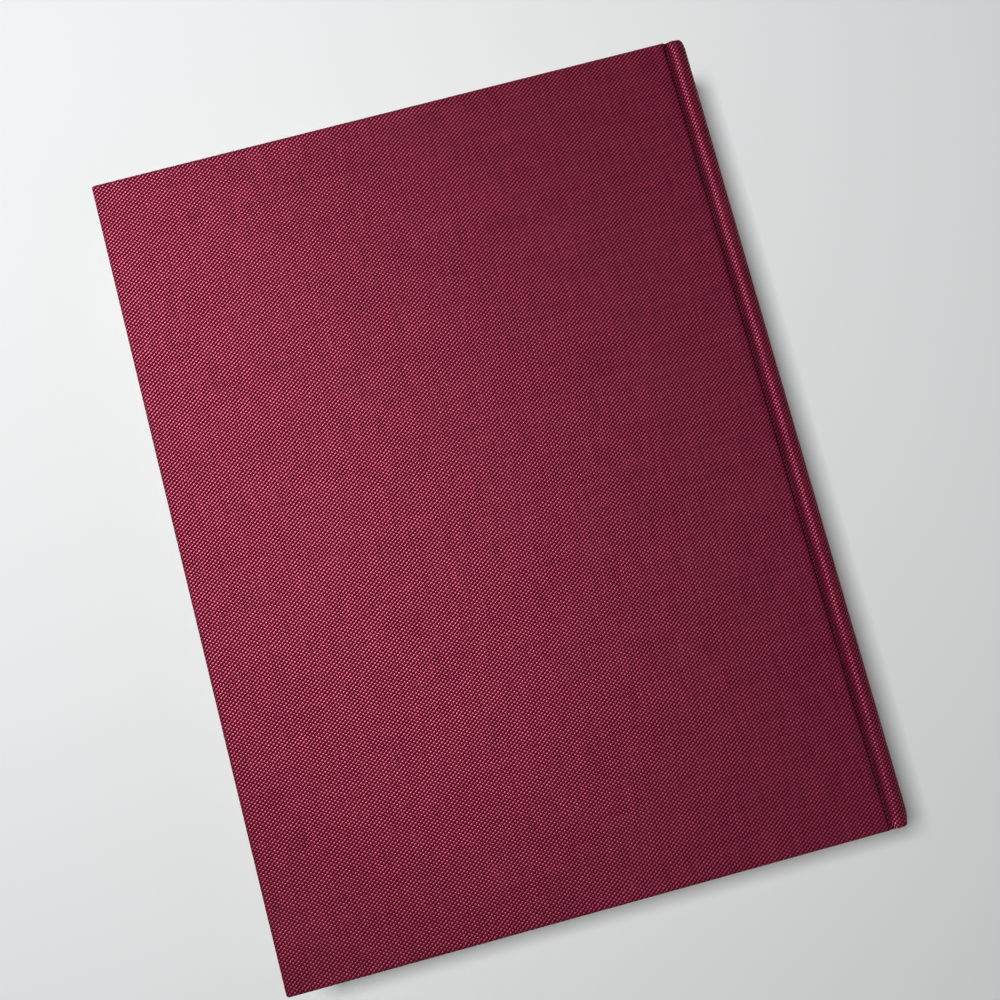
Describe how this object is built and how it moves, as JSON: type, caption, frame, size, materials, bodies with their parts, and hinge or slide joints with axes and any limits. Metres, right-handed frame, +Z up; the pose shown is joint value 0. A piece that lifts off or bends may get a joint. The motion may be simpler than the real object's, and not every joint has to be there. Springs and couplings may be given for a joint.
{
  "type": "hardback book",
  "caption": "Cloth-covered case-bound book lying flat, with a rounded spine, a pressed joint along each side of it, and covers that open.",
  "frame": {"origin": "centre of the box round the closed book, at the surface that it lies on", "axes": "+X towards the spine, +Y towards the head, +Z up through the back cover"},
  "size_m": [0.1998, 0.26, 0.028],
  "materials": {
    "book_cloth": "plain-woven book cloth with a fine diagonal grain, maroon",
    "pages": "cream uncoated paper, trimmed edges",
    "endpaper": "off-white laid paper, matt",
    "greyboard": "dense grey binder's board",
    "card": "thin manila card",
    "kraft_paper": "brown kraft paper",
    "gauze": "open cotton gauze stiffened with glue",
    "band": "two-colour woven head band"
  },
  "bodies": {
    "pages_and_spine": {"text_block": "pages", "spine_cloth": "book_cloth", "spine_inlay": "card", "spine_mull": "gauze", "spine_lining": "kraft_paper", "head_band": "band", "tail_band": "band", "front_flyleaf": "endpaper", "back_flyleaf": "endpaper"},
    "front_cover": {"front_board": "greyboard", "front_cover_cloth": "book_cloth", "front_mull_flange": "gauze", "front_pastedown": "endpaper"},
    "back_cover": {"back_board": "greyboard", "back_cover_cloth": "book_cloth", "back_mull_flange": "gauze", "back_pastedown": "endpaper"}
  },
  "joints": [
    {"name": "back_cover_hinge", "type": "hinge", "parent": "pages_and_spine", "child": "back_cover", "pos_m": [0.09125, 0, 0.028], "axis": [0, 1, 0], "range_deg": [0, 179]},
    {"name": "front_cover_hinge", "type": "hinge", "parent": "pages_and_spine", "child": "front_cover", "pos_m": [0.09125, 0, 0], "axis": [0, -1, 0], "range_deg": [0, 179]}
  ]
}
